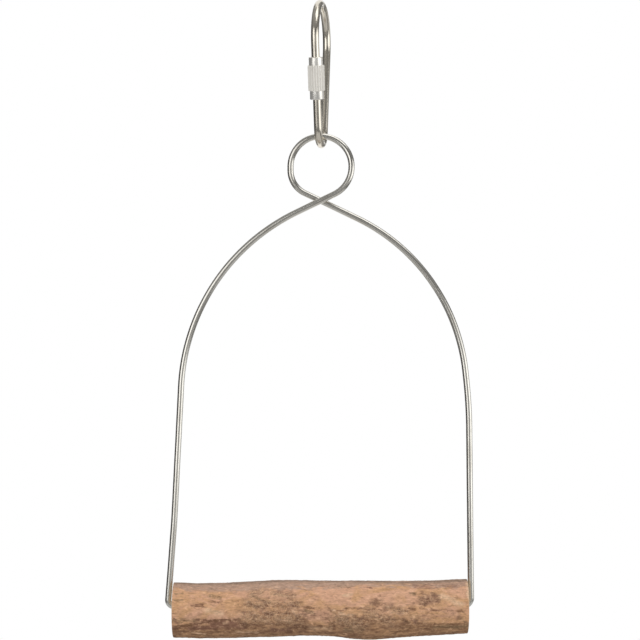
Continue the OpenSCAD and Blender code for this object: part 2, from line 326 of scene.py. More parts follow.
def plate_material(part):
    """Nickel plate on drawn wire: faint draw lines, dulled spots, a soft haze and painted shade in
    the sleeve's flute hollows.
    """
    look = settings("finishes")
    material, finish = new_material(part + " nickel")
    run = finish.attribute("run", "Vector")

    def grain(scales, detail=3.0):
        return finish.cloud(finish.vector("MULTIPLY", run, scales), 1.0, detail)

    lines = grain((2600, 2600, 60), 2)
    haze = grain((260, 260, 90), 4)
    spots = grain((900, 900, 500)).rise(0.62, 0.78)
    plate = finish.mix(haze.rise(0.45, 0.8) * 0.35 + spots * 0.25,
                       getattr(look, part + "_plate"), look.tarnish)
    # Painted shade: the flute hollows darken toward the tarnish colour, deepest at their bottoms
    plate = finish.mix(finish.attribute("flute") * 0.3, plate, look.tarnish)
    satin = finish.attribute("satin")
    finish.cover(lines * 0.4 + haze, 0.02 * MM, 0.05, base_color=plate,
                 metallic=1 - satin * 0.75,
                 roughness=0.12 + haze * 0.1 + lines * 0.04 + spots * 0.08 + satin * 0.32)
    return material


def branch_material():
    """Peeled branch: bare wood, bark along the underside, a grey crown, sawn faces, and painted
    shade in the cracks and along the very top and foot.
    """
    look = settings("finishes")
    material, finish = new_material("peeled branch")
    mix, cloud, attribute = finish.mix, finish.cloud, finish.attribute
    place = finish.node("ShaderNodeTexCoord", output="Object")
    flakes = finish.vector("MULTIPLY", place, (0.55, 1, 1))
    fibres = finish.vector("MULTIPLY", place, (0.12, 1, 1))
    blotch = cloud(flakes, 170, detail=2, distortion=0.8)
    mottle = cloud(flakes, 520, detail=4, roughness=0.6, distortion=0.5)
    fleck = cloud(flakes, 1000, roughness=0.65, distortion=0.7)
    fibre = cloud(fibres, 2400, detail=2, roughness=0.6)
    streak = cloud(fibres, 900, roughness=0.6, distortion=0.5)
    tangle = cloud(place, 620, detail=2, distortion=2.6)
    torn = (mottle - 0.5) * 1.3 + (fleck - 0.5) * 1.1

    def patch(name, raggedness=0.75):
        return (attribute(name) + torn * raggedness).rise(0.2, 1.0)

    # Bare wood, with bark below it, the grey crown above and the marks on top
    wood = mix(blotch.rise(0.38, 0.62), look.peeled, look.peeled_warm)
    wood = mix(mottle.rise(0.48, 0.68) * 0.7, wood, look.peeled_deep)
    lower = mix((streak + (mottle - 0.5)).rise(0.4, 0.64), look.bark, look.bark_tan)
    top = mix(streak.rise(0.45, 0.7) * 0.5, look.crown, look.peeled_deep)
    wood = mix(patch("underside", 0.8), wood, lower)
    wood = mix(patch("crown", 0.6), wood, top)
    # The crack marks carry painted shade in the cracks as well as their own dark colour
    for tone in ("pale", "olive", "mauve", "dark"):
        wood = mix(patch(tone) * 0.85, wood, getattr(look, tone))

    # Frayed bark with pale strands, then flecks, grey painted shade along the very top and foot,
    # and fine grain everywhere
    frayed = attribute("frayed")
    strands = (1 - abs(tangle - 0.5) * 14).rise(0.0, 0.9) * frayed
    shreds = mix(fleck.rise(0.36, 0.64), look.bark_tan, look.mauve)
    wood = mix(frayed * 0.8, wood, shreds)
    wood = mix(fleck.rise(0.54, 0.72) * 0.25, wood, look.dark)
    wood = mix(strands * 0.8, wood, look.pale)
    wood = mix((1 - fleck).rise(0.54, 0.72) * 0.35, wood, look.pale)
    # Painted shade: greyer and darker where the branch's top and foot turn away from the lights
    wood = mix(attribute("weather") * 0.75, wood, look.weathered)
    grain = 1 + (fibre - 0.5) * 0.7 - (fleck - 0.5) * 0.7 + (mottle - 0.5) * 0.8
    wood = mix(1.0, wood, grain, "MULTIPLY")

    # The sawn faces: uneven growth rings, rays and a darker rim
    years = attribute("year", "Vector")
    reach = finish.vector("LENGTH", years, output="Value")
    wavy = reach * 1900 + (blotch - 0.5) * 2.5 + (mottle - 0.5) * 0.9
    rings = finish.node("ShaderNodeTexNoise", {"noise_dimensions": "1D"}, w=wavy, scale=1.0,
                        detail=1.5)
    rays = cloud(finish.vector("NORMALIZE", years), 11, detail=4)
    rays = (rays + (fleck - 0.5) * 0.3).rise(0.52, 0.7)
    ends = mix(rings.rise(0.42, 0.62) * 0.6, look.end_wood, look.end_ring)
    ends = mix(rays * 0.3, ends, look.peeled_deep)
    ends = mix(fleck.rise(0.5, 0.7) * 0.35, ends, look.bark_tan)
    ends = mix((reach * 1000).rise(8.5, 11.5) * 0.35, ends, look.peeled_deep)
    wood = mix(attribute("sawn"), wood, ends)

    relief = fibre * 0.4 + streak * 0.4 - fleck * 0.7 + mottle * 0.6 + strands * 0.6
    relief = relief - patch("dark") * 0.5
    finish.cover(relief, 0.25 * MM, 0.7, base_color=wood,
                 roughness=0.92 - mottle.rise(0.4, 0.7) * 0.12, specular_ior_level=0.2)
    return material


# Meshes


def add_object(name, data):
    """A new object in the scene."""
    made = bpy.data.objects.new(name, data)
    bpy.context.scene.collection.objects.link(made)
    return made


def loft(name, rings, attributes, looped=False, crease=None):
    """A closed skin over rings of equal counts, with its two ends capped or joined."""
    count, sides = rings.shape[:2]
    around = [(k, (k + 1) % sides) for k in range(sides)]
    faces = []
    for i in range(count if looped else count - 1):
        here, there = i * sides, (i + 1) % count * sides
        faces += [(here + k, here + right, there + right, there + k) for k, right in around]
    values = {label: field.reshape(count * sides, -1)
              for label, field in {"place": rings, **attributes}.items()}
    if not looped:
        middle, end = count * sides, (count - 1) * sides
        for k, right in around:
            faces += [(middle, right, k), (middle + 1, end + k, end + right)]
        values = {label: np.vstack([v, v[:sides].mean(axis=0), v[-sides:].mean(axis=0)])
                  for label, v in values.items()}
    mesh = bpy.data.meshes.new(name)
    mesh.from_pydata(values.pop("place").tolist(), [], faces)
    for label, value in values.items():
        kind, field = ("FLOAT_VECTOR", "vector") if value.shape[1] == 3 else ("FLOAT", "value")
        layer = mesh.attributes.new(label, kind, "POINT")
        layer.data.foreach_set(field, value.astype(np.float32).ravel())
    mesh.shade_smooth()
    if crease:
        mesh.set_sharp_from_angle(angle=math.radians(crease))
    return add_object(name, mesh)


class BentPath:
    """The centre line of a wire through corner points, with a round bend at each inner one."""

    def __init__(self, corners, radii):
        corners = [Vector(c) for c in corners]
        self.pieces = []
        start = corners[0]
        for before, corner, after, radius in zip(corners, corners[1:], corners[2:], radii):
            way_in = (corner - before).normalized()
            way_out = (after - corner).normalized()
            turn = way_in.angle(way_out)
            trim = radius * math.tan(turn / 2)
            bend_start = corner - way_in * trim
            inward = way_in.cross(way_out).normalized().cross(way_in)
            self.pieces.append(((bend_start - start).length, 0.0, start, way_in, None))
            self.pieces.append((radius * turn, radius, bend_start, way_in, inward))
            start = corner + way_out * trim
        ahead = corners[-1] - start
        self.pieces.append((ahead.length, 0.0, start, ahead.normalized(), None))
        self.length = sum(piece[0] for piece in self.pieces)

    def at(self, distance):
        """The point and the direction at a distance along the wire."""
        for piece in self.pieces:
            if distance <= piece[0] or piece is self.pieces[-1]:
                break
            distance -= piece[0]
        _, radius, start, way, inward = piece
        if inward is None:
            return start + way * distance, way
        angle = distance / radius
        rise, run = 1 - math.cos(angle), math.sin(angle)
        return (start + (inward * rise + way * run) * radius,
                way * math.cos(angle) + inward * math.sin(angle))

    def stations(self):
        """Distances along the wire, closer together in its bends."""
        places, reached = [0.0], 0.0
        for piece_l, radius, *_ in self.pieces:
            step = min(STRAIGHT_STEP, radius * BEND_STEP) if radius else STRAIGHT_STEP
            cuts = max(1, math.ceil(piece_l / step))
            places += [reached + piece_l * (i + 1) / cuts for i in range(cuts)]
            reached += piece_l
        return places


def angles_round(sides):
    """Even steps once round."""
    return np.arange(sides) * FULL_TURN / sides


def ring(middle, side, over, radii, distance):
    """One ring of points, and each point's place as if the wire were straight."""
    angles = angles_round(len(radii))
    across, above = radii * np.cos(angles), radii * np.sin(angles)
    return (np.array(middle) + np.outer(across, side) + np.outer(above, over),
            np.stack([across, above, np.full(len(radii), distance)], axis=1))


def tube_rings(path, stations, radius_at, sides, wander=0.0):
    """Rings around a path that wanders a little, and each point's place as in ring."""
    angles = angles_round(sides)
    side = Vector((0.3, 0.8, 0.5))
    rings = []
    noise.seed_set(DRAW_SEED)    # noise_vector goes by the clock until it is given a seed
    for distance in stations:
        point, way = path.at(min(max(distance, 0.0), path.length))
        side = (side - way * side.dot(way)).normalized()
        drift = noise.noise_vector(Vector((distance / WANDER_STEP, 3.1, 7.7))) * wander
        rings.append(ring(point + drift, side, way.cross(side), radius_at(distance, angles),
                          distance))
    return [np.array(part) for part in zip(*rings)]


def leg_corners(size, hand, out, crossing_z):
    """The left or right leg's shoulder, knee and elbow, drawn on the right-hand side."""
    slope, knee_drop = math.tan(size.slope), getattr(size, hand + "_knee_drop")
    upper = math.tan(getattr(size, hand + "_upper_lean"))
    lower = math.tan(getattr(size, hand + "_lower_lean"))
    knee_z = crossing_z - knee_drop
    knee_x = out - (knee_z - PERCH_Z) * lower
    shoulder_x = (knee_x - knee_drop * upper) / (1 - slope * upper)
    shoulder_z = crossing_z - shoulder_x * slope
    return [(shoulder_x, 0, shoulder_z), (knee_x, 0, knee_z), (out, 0, PERCH_Z)]


def arch_path(size):
    """The arch's wire from its left end round the ring to its right end."""
    ring_r = size.ring_r
    left_out = size.width / 2 + size.leg_shift
    right_out = size.width / 2 - size.leg_shift
    crossing_z = RING_TOP_Z - ring_r * (1 + 1 / math.cos(size.slope))
    corner_z = crossing_z + ring_r * math.tan(size.slope)
    left = [(-x, y, z) for x, y, z in leg_corners(size, "left", left_out, crossing_z)]
    right = leg_corners(size, "right", right_out, crossing_z)
    lay = (size.wire_d + size.cross_gap) / 2
    front = -lay * (ring_r - left[0][0]) / -left[0][0]
    behind = lay * (ring_r + right[0][0]) / right[0][0]
    corners = [(size.stub_l - left_out, 0, PERCH_Z), *reversed(left),
               (ring_r, front, corner_z), (ring_r, 0, RING_TOP_Z),
               (-ring_r, 0, RING_TOP_Z), (-ring_r, behind, corner_z),
               *right, (right_out - size.stub_l, 0, PERCH_Z)]
    ring_bend_r = ring_r - settings("link").bow_flat / 2
    radii = [size.left_elbow_r, size.knee_r, size.left_shoulder_r, *[ring_bend_r] * 3,
             size.ring_left_r, size.right_shoulder_r, size.knee_r, size.right_elbow_r]
    return BentPath(corners, radii)


def bend_arch():
    """The arch's wire as one swept piece."""
    size = settings("arch")
    path = arch_path(size)
    wire_r = size.wire_d / 2

    def radius_at(distance, angles):
        from_end = min(distance, path.length - distance)
        return np.full_like(angles, wire_r - max(0.0, size.end_bevel - from_end))

    stations = sorted({*path.stations(), size.end_bevel, path.length - size.end_bevel})
    rings, runs = tube_rings(path, stations, radius_at, ARCH_SIDES, size.unevenness)
    return loft("bent_arch", rings, {"run": runs}, crease=40)


class LinkPlane:
    """The link's own plane, and the straight near strand in it that the sleeve closes."""

    def __init__(self, size):
        self.size = size
        wire_r = size.wire_d / 2
        self.top_z = wire_r - size.top_bow_r
        self.foot_z = size.foot_bow_r - wire_r - size.inside_l
        self.lean = math.asin((size.top_bow_r - size.foot_bow_r) / (self.top_z - self.foot_z))

    def placed(self, x, z):
        """A point of the plane in the swing's frame."""
        turn = math.pi / 2 - self.size.turn
        return (x * math.cos(turn), x * math.sin(turn), z)

    def on_strand(self, down):
        """A point a distance down the near strand, from the end of the top bow."""
        bow = self.size.top_bow_r
        return self.placed(down * math.sin(self.lean) - bow * math.cos(self.lean),
                           self.top_z - bow * math.sin(self.lean) - down * math.cos(self.lean))

    def path(self, upper_tip, lower_tip):
        """The link's wire from its upper threaded tip over both bows to its lower one."""
        size = self.size
        top_x = size.top_bow_r * math.tan((math.pi / 2 + self.lean) / 2)
        foot_x = size.foot_bow_r * math.tan((math.pi / 2 - self.lean) / 2)
        top_z, foot_z = self.top_z + size.top_bow_r, self.foot_z - size.foot_bow_r
        corners = [self.on_strand(upper_tip), self.placed(-top_x, top_z),
                   self.placed(top_x, top_z), self.placed(foot_x, foot_z),
                   self.placed(-foot_x, foot_z), self.on_strand(lower_tip)]
        top_r = size.top_bow_r - size.bow_flat / 2
        foot_r = size.foot_bow_r - size.bow_flat / 2
        return BentPath(corners, [top_r, top_r, foot_r, foot_r])


def thread_height(distance, angles, pitch):
    """How high a right-hand thread's flank stands at each angle, from 0 root to 1 crest."""
    steepness, root_width = 1.7, 0.2
    phase = (distance / pitch - angles / FULL_TURN) % 1.0
    return np.clip(steepness * (1 - np.abs(2 * phase - 1)) - root_width, 0.0, 1.0)


def bend_link():
    """The link's wire with rolled threads at both ends."""
    size, sleeve = settings("link"), settings("sleeve")
    relief = 0.5 * MM
    thread_top = sleeve.drop + relief
    thread_foot = sleeve.drop + sleeve.top_collar_l + sleeve.grip_l + sleeve.foot_collar_l - relief
    path = LinkPlane(size).path(thread_top + size.upper_thread, thread_foot - size.lower_thread)
    wire_r, crest_r = size.wire_d / 2, size.wire_d / 2 + size.crest_h
    root_r = crest_r - size.thread_depth

    def radius_at(distance, angles):
        from_end = path.length - distance
        threaded = size.upper_thread if distance < from_end else size.lower_thread
        to_tip = min(distance, from_end)
        if to_tip > threaded:
            return np.full_like(angles, wire_r)
        fade = min(1.0, (threaded - to_tip) / size.pitch)
        cut = root_r + (crest_r - root_r) * thread_height(distance, angles, size.pitch)
        radii = wire_r + (cut - wire_r) * fade
        return np.minimum(radii, crest_r - max(0.0, size.tip_bevel - to_tip))

    fine = size.pitch / RINGS_PER_PITCH
    upper = np.arange(0, size.upper_thread + fine, fine)
    lower = path.length - np.arange(0, size.lower_thread + fine, fine)
    plain = [s for s in path.stations() if upper[-1] < s < lower[-1]]
    rings, runs = tube_rings(path, [*upper, *plain, *lower[::-1]], radius_at, LINK_SIDES)
    return loft("pear_link", rings, {"run": runs})


def sleeve_outline(size):
    """The sleeve's section from its foot up: (height, radius, share that is fluted)."""
    total = size.top_collar_l + size.grip_l + size.foot_collar_l
    grip_foot, grip_top = size.foot_collar_l, size.foot_collar_l + size.grip_l
    collar_r, grip_r = size.collar_d / 2, size.grip_d / 2
    turns = [math.radians(a) for a in range(0, 91, 18)]

    def rounded(height, radius, way):
        """A quarter round at an outer edge, above the height for way 1 or below it for -1."""
        bow = [(height + way * size.edge * (1 - math.cos(t)),
                radius - size.edge * (1 - math.sin(t))) for t in turns]
        return bow[::way]

    foot = [*rounded(0, collar_r, 1), (grip_foot - HAIR, collar_r), (grip_foot, collar_r)]
    steps = [(grip_foot + size.grip_l * i / 12, grip_r) for i in range(1, 12)]
    grip = [*rounded(grip_foot, grip_r, 1), *steps, *rounded(grip_top, grip_r, -1)]
    top = [(grip_top, collar_r), (grip_top + HAIR, collar_r), *rounded(total, collar_r, -1)]
    shares = ((foot, 0.0), (grip, 1.0), (top, 0.0))
    return [(*place, share) for part, share in shares for place in part], total


def turn_sleeve():
    """The screw sleeve, turned, fluted and threaded inside."""
    size, link = settings("sleeve"), settings("link")
    section, total = sleeve_outline(size)
    plane = LinkPlane(link)
    foot = Vector(plane.on_strand(size.drop + total))
    up = (Vector(plane.on_strand(0)) - foot).normalized()
    side = up.orthogonal().normalized()
    over = up.cross(side)
    angles = angles_round(size.flutes * SIDES_PER_FLUTE)

    # The radius round the grip, lowered by the hollow of each flute
    bore_r, grip_r = size.bore_d / 2, size.grip_d / 2
    hollow_r = grip_r - size.flute_depth + size.flute_r
    spread = (angles * size.flutes / FULL_TURN + 0.5) % 1.0 - 0.5
    swing = spread * FULL_TURN / size.flutes
    reach = size.flute_r ** 2 - (hollow_r * np.sin(swing)) ** 2
    hollow = hollow_r * np.cos(swing) - np.sqrt(np.maximum(reach, 0.0))
    fluted = np.where(reach > 0, np.minimum(hollow, grip_r), grip_r)
    depth = np.clip((grip_r - fluted) / size.flute_depth, 0, 1)
    rings = []

    def add(height, radii, flute, satin):
        rings.append((*ring(foot + up * height, side, over, radii, height), flute,
                      np.full_like(angles, satin)))

    # Each ring carries its flutes' depth, by which the plate paints shade in the hollows
    for height, radius, flute in section:
        radii = np.minimum(radius, fluted) if flute else np.full_like(angles, radius)
        add(height, radii, depth * flute, max(flute, 0.3))
    thread_depth, fine = link.thread_depth * 0.8, link.pitch / RINGS_PER_PITCH
    for height in np.arange(0, total + fine, fine)[::-1]:
        height = min(height, total)
        to_end = min(height, total - height)
        cut = thread_depth * (1 - thread_height(height, angles, link.pitch))
        lip = max(0.0, size.edge - to_end)
        add(height, bore_r + np.maximum(cut * min(1.0, to_end / link.pitch), lip), depth * 0, 0.0)
    places, runs, flutes, satins = (np.array(part) for part in zip(*rings))
    return loft("screw_sleeve", places, {"run": runs, "flute": flutes, "satin": satins},
                looped=True, crease=32)


# Perch

# Marks on the branch's front as the photograph shows them, by tone. Each is a stroke from one
# pixel to another, with half its width in pixels and its strength where it isn't USUAL_STRENGTH.
# The draw for the back goes by the tones' order.
USUAL_STRENGTH = 0.85
MARKS = {
    # The cracks and bruises, with painted shade in the cracks and under raised edges
    "dark": (
        (171, 628.8, 187, 626.3, 1.5, 1.0), (187, 626.3, 197, 623.8, 1.8, 0.9),
        (197, 623.8, 208, 622.4, 1.7, 0.9), (208, 622.2, 224, 620, 1.4, 0.9),
        (224, 620, 240, 620.8, 1.2, 0.9), (240, 621, 248, 625.5, 1.5, 0.9),
        (174, 630, 185, 632.4, 1.2, 0.5), (288, 627.4, 306, 626.8, 2.0, 0.9),
        (252, 625.8, 263, 626.2, 1.2), (192, 606.5, 203, 606.5, 1.2),
        (208, 602.2, 218, 601.6, 0.8), (232, 601, 238, 600.8, 0.6), (250, 605.5, 257, 605.5, 0.8),
        (265, 613.5, 271, 614.5, 1.7), (272, 611.8, 288, 613.5, 1.5), (265, 602, 266, 607, 0.9),
        (289, 599, 298, 604, 1.2), (303, 607.4, 313, 608.2, 0.8), (271, 624.5, 276, 624, 1.1),
        (281, 624, 292, 626.5, 1.5), (286, 632.5, 292, 631.5, 1.1), (245, 626, 256, 625, 1.8),
        (240, 622, 244, 626, 1.6), (317, 607, 319, 607.4, 0.8), (323, 603, 328, 607.5, 0.8, 0.6),
        (328, 608, 331, 611.5, 1.0), (346, 609.4, 356, 607.6, 0.7), (358, 608.6, 370, 609.6, 0.8),
        (370, 608.8, 385, 610.4, 0.9), (385, 609.8, 400, 609.4, 0.6),
        (377, 598, 380, 595.6, 1.1, 0.6), (339, 621, 342, 622, 1.0), (353, 616.4, 357, 617, 1.2),
        (334, 624, 335, 629, 1.4), (326, 619, 330, 620, 1.4), (317, 626, 321, 626.6, 1.2),
        (381, 622, 385, 623, 1.1), (401, 610.8, 404, 611.6, 1.4), (409, 609, 415, 610, 1.2),
        (432, 610.4, 446, 610.6, 0.8, 0.6), (446, 611, 466, 610.4, 0.5, 0.65),
        (457, 611.4, 461, 611.6, 1.0), (419.5, 598, 420.5, 607, 1.7, 0.6),
        (424, 604.5, 429, 600.5, 0.9), (403, 622.4, 406, 622, 0.7, 0.4),
        (431, 624, 440, 626, 1.6, 0.5), (446, 624.6, 464, 624, 0.6, 0.5),
        (404, 629, 428, 629.4, 1.6, 0.45), (432, 588, 436, 586.4, 0.8, 0.5),
        (438, 585.8, 445, 585.2, 0.7, 0.5),
    ),
    "mauve": (
        (424, 600, 434, 599, 5.8, 0.98), (219, 622.6, 232, 622.8, 2.3, 1.15),
        (424, 616, 462, 617.4, 4.0, 0.46), (306, 617, 330, 616, 5.0, 0.5),
        (212, 625.2, 243, 626, 3.6, 1.0), (374, 604, 379, 601, 4.0, 0.76),
        (197, 620, 206, 620.4, 1.4), (176, 632, 190, 631.4, 1.8, 0.5),
        (190, 628.4, 216, 627, 3.0, 0.9), (272, 630.6, 290, 630, 2.4),
        (193, 603.5, 203, 604.5, 0.8), (218, 603, 223, 601, 0.6), (174, 618, 176, 622, 1.0),
        (287, 610, 291, 617, 1.8), (292, 606, 299, 606.6, 0.6), (296, 608, 303, 612, 1.2),
        (271, 629.5, 290, 630.5, 2.2), (337, 611.4, 346, 609.6, 0.8),
        (371, 604.5, 380, 604, 3.4, 0.66), (359, 618.6, 364, 617, 1.1), (379, 616, 383, 618, 1.1),
        (423, 609.4, 432, 609.4, 1.0, 0.7), (424, 600, 433, 604, 2.6, 0.7),
        (422, 593, 430, 597, 2.0), (401, 623, 406, 622, 1.2, 0.5), (411, 619, 416, 622, 1.2),
        (415, 586, 431, 586.6, 2.2, 0.68), (447, 585.6, 459, 586.4, 1.9, 0.66),
        (367, 587, 372, 588.4, 0.9),
    ),
    "olive": (
        (372, 604, 380, 601, 3.5, 0.75), (173, 620.6, 198, 620.4, 2.1),
        (434, 627, 467, 626.4, 2.4, 0.75), (341, 620, 360, 628, 5.0, 0.75),
        (175, 593.4, 183, 593.2, 0.6), (174, 600.5, 182, 600.5, 1.0), (210, 596, 220, 597, 1.8),
        (250, 605, 262, 606, 3.6), (305, 610, 313, 613, 2.0), (252, 596, 270, 603, 1.6),
        (337, 618, 343, 622, 2.5), (346, 619, 352, 626, 2.8), (345, 629, 352, 631, 2.4),
        (354, 622, 362, 629, 2.2), (433, 594, 439, 600, 2.6), (410, 593, 415, 594, 1.3),
        (337, 586.4, 351, 587, 1.6, 0.5), (459, 617, 467, 623, 1.6, 0.6),
    ),
    "pale": (
        (308, 627, 330, 628, 3.0, 0.5), (392, 612, 404, 613, 2.4, 0.6),
        (192, 632.6, 205, 633.2, 0.5), (236, 631.6, 258, 632.2, 0.5, 0.7),
        (206, 611, 221, 613, 3.2), (274, 594, 288, 596.5, 1.0), (293, 611, 296, 615, 1.6),
        (256, 619, 270, 621, 0.8), (276, 619, 292, 621, 0.9), (332, 610.3, 336, 610.8, 0.9),
        (338, 613, 352, 615.6, 1.2), (343, 595.4, 352, 594.6, 1.5), (441, 596, 462, 604, 3.0),
        (467, 583, 469, 600, 1.2),
    ),
    "frayed": (
        (248, 604, 296, 605, 5.0), (246, 616, 298, 618, 7.0), (250, 594, 262, 592, 3.0),
        (272, 593, 292, 596, 3.5), (366, 612, 392, 622, 5.0), (386, 607, 406, 612, 3.0),
        (404, 617, 424, 620, 4.0, 0.45), (423, 600, 436, 598, 5.5, 0.5), (336, 618, 362, 624, 6.0),
    ),
}
# How high the bare wood reaches and where the underside's bark begins, as shares of the
# branch's half height at even steps from left to right, on its front and on its back
CROWN_SHARES = (
    (0.78, 0.72, 0.68, 0.67, 0.68, 0.71, 0.73, 0.745, 0.77, 0.78, 0.85, 0.88, 0.87,
     0.85, 0.8, 0.78, 0.78),
    (0.7, 0.62, 0.58, 0.66, 0.74, 0.7, 0.6, 0.52, 0.56, 0.66, 0.72, 0.7, 0.62, 0.6,
     0.68, 0.74, 0.7),
)
BARK_SHARES = (
    (-0.67, -0.56, -0.43, -0.345, -0.34, -0.14, -0.1, -0.16, -0.58, -0.17, -0.24, -0.2,
     -0.18, -0.3, -0.45, -0.46, -0.45),
    (-0.5, -0.42, -0.3, -0.36, -0.5, -0.56, -0.44, -0.3, -0.2, -0.26, -0.4, -0.52, -0.5,
     -0.38, -0.3, -0.36, -0.46),
)


def cloud_field(places, scales, seed, octaves=3):
    """Fractal noise from about -1 to 1 at each place, with a scale for each axis."""
    shift = Vector((seed * 17.3, seed * 5.9, seed * 11.1))
    scales = Vector(scales)
    flat = places.reshape(-1, 3)
    values = [noise.fractal(Vector(p) * scales + shift, 0.6, 2.1, octaves) for p in flat]
    return np.array(values).reshape(places.shape[:-1])


def smooth_step(values, low, high):
    """A smooth step from 0 at low to 1 at high."""
    t = np.clip((values - low) / (high - low), 0, 1)
    return t * t * (3 - 2 * t)


def eased(shares, along, cuts=161, reach=6):
    """Shares at even steps, read smoothly at places from 0 to 1."""
    last = len(shares) - 1
    steps = np.linspace(0, last, cuts)
    fine = np.interp(steps, np.arange(len(shares)), shares)
    kernel = np.hanning(2 * reach + 1)
    soft = np.convolve(np.pad(fine, reach, mode="edge"), kernel / kernel.sum(), "valid")
    return np.interp(np.clip(along, 0, 1) * last, steps, soft)


def softened(field, around, along):
    """A field smoothed a little around the branch and along it."""
    for axis, reach, mode in ((1, around, "wrap"), (0, along, "edge")):
        kernel = np.hanning(2 * reach + 3)[1:-1]
        kernel /= kernel.sum()
        pads = [(0, 0), (0, 0)]
        pads[axis] = (reach, reach)
        padded = np.pad(field, pads, mode=mode)
        field = np.apply_along_axis(lambda row: np.convolve(row, kernel, "valid"), axis, padded)
    return field


class Blank:
    """The branch as the frame gives it: its outside, its sawn faces and its two holes."""

    def __init__(self):
        mesh = frame["nodes"]["perch"].data
        self.tree = BVHTree.FromPolygons([v.co for v in mesh.vertices],
                                         [p.vertices for p in mesh.polygons])
        low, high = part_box("perch")
        self.left, self.right = low[0], high[0]
        self.far = (high[2] - low[2]) * 2

    def outside(self, x, angle):
        """How far the branch's outside lies from the holes' axis."""
        out = Vector((0, math.cos(angle), math.sin(angle)))
        start = Vector((x, 0, PERCH_Z)) + out * self.far
        return self.far - self.tree.ray_cast(start, -out)[3]

    def bore(self, x, angle):
        """The hole's radius at x."""
        out = Vector((0, math.cos(angle), math.sin(angle)))
        return self.tree.ray_cast(Vector((x, 0, PERCH_Z)), out)[3]

    def hole_bottom(self, face, inward):
        """Where the hole in a sawn face ends."""
        start = Vector((face, 0, PERCH_Z))
        return self.tree.ray_cast(start, Vector((inward, 0, 0)))[0].x


def stroke(away, half):
    """How strongly a stroke shows at a distance from its middle line."""
    return np.exp(-(away / half) ** 2 * 0.8)


def mark_fields(places):
    """Each tone's strength at each place, from the marks on the front."""
    stage = settings("stage")
    depth = stage.distance + places[..., 1]
    pixels = stage.focal * MM / SENSOR_W * PHOTO_PIXELS
    px = PHOTO_PIXELS / 2 + (places[..., 0] - stage.camera_x) / depth * pixels
    py = PHOTO_PIXELS / 2 - (places[..., 2] - stage.camera_z) / depth * pixels
    px = px + cloud_field(places, (500, 900, 900), 21) * 1.6
    py = py + cloud_field(places, (300, 900, 900), 22) * 1.1
    front = smooth_step(-places[..., 1], 0.0, MARKS_FADE)

    def mark(x1, y1, x2, y2, half, strength=USUAL_STRENGTH):
        run, fall = x2 - x1, y2 - y1
        share = np.clip(((px - x1) * run + (py - y1) * fall) / (run ** 2 + fall ** 2), 0, 1)
        away = np.hypot(px - x1 - share * run, py - y1 - share * fall)
        return stroke(away, half + 0.4) * strength * front

    return {tone: np.maximum.reduce([mark(*values) for values in marks])
            for tone, marks in MARKS.items()}


def scattered_fields(places, angles):
    """Marks of the same kinds on the branch's back, from a seeded draw."""
    draw = np.random.default_rng(DRAW_SEED)
    x_places = places[..., 0]
    back = smooth_step(places[..., 1], 0.0, MARKS_FADE)
    tones = list(MARKS)
    fields = {tone: np.zeros(back.shape) for tone in tones}
    warp = cloud_field(places, (400, 900, 900), 31) * 0.7 * MM
    for _ in range(BACK_MARKS):
        tone = tones[draw.integers(len(tones))]
        x = draw.uniform(-57, 57) * MM
        angle = draw.uniform(-1.4, 1.4)
        half_l, half_w = draw.uniform(1, 4.5) * MM, draw.uniform(0.25, 0.9) * MM
        if tone == "frayed":
            half_w = half_w * 3
        slant = draw.uniform(-0.15, 0.15)
        over = (angles - angle) * 11 * MM + warp - slant * (x_places - x)
        beyond = np.maximum(np.abs(x_places - x) - half_l, 0)
        strength = stroke(np.hypot(beyond, over), half_w) * draw.uniform(0.4, 0.8)
        fields[tone] = np.maximum(fields[tone], strength * back)
    return fields


def branch_points(x, radii, angles):
    """Points round the holes' axis."""
    return np.stack(np.broadcast_arrays(x, radii * np.cos(angles),
                                        PERCH_Z + radii * np.sin(angles)), axis=-1)


def end_rings(blank, angles, inward, edge):
    """One end's rings, from the hole's bottom over the sawn face to the worn edge, and how
    much of each is sawn wood."""
    face = blank.left if inward > 0 else blank.right
    tip = blank.hole_bottom(face, inward)
    drill_r = blank.bore((tip + face) / 2, 0.0)
    inside = face + inward * HAIR
    rings, sawn = [], []

    def add(x, radii, share):
        rings.append(branch_points(x, radii, angles))
        sawn.append(np.full_like(angles, share))

    for share in (0.1, 0.55):
        add(tip - inward * drill_r * share, drill_r * share, 0.4)
    for x in np.linspace(tip - inward * drill_r, inside, BORE_RINGS):
        add(x, np.array([blank.bore(x, a) for a in angles]), 0.6)
    mouth = np.array([blank.bore(inside, a) for a in angles])
    rim = np.array([blank.outside(face + inward * 2 * edge, a) for a in angles]) - edge
    for share in np.linspace(0, 1, FACE_RINGS):
        add(face, mouth + (rim - mouth) * share, 1.0)
    for turn in (30, 60):
        tilt = math.radians(turn)
        add(face + inward * edge * (1 - math.cos(tilt)), rim + edge * math.sin(tilt),
            1 - turn / 90)
    return rings, sawn


def branch_rings(blank, angles, edge):
    """All rings from one hole's bottom to the other's, and how much of each is sawn wood."""
    left, left_sawn = end_rings(blank, angles, 1, edge)
    right, right_sawn = end_rings(blank, angles, -1, edge)
    xs = np.linspace(blank.left + edge, blank.right - edge, PERCH_RINGS)
    inner = np.clip(xs, blank.left + 1.5 * edge, blank.right - 1.5 * edge)
    radii = softened(np.array([[blank.outside(x, a) for a in angles] for x in inner]), 5, 9)
    side = branch_points(xs[:, None], radii, angles)
    return (np.concatenate([left, side, right[::-1]]),
            np.concatenate([left_sawn, np.zeros(radii.shape), right_sawn[::-1]]))


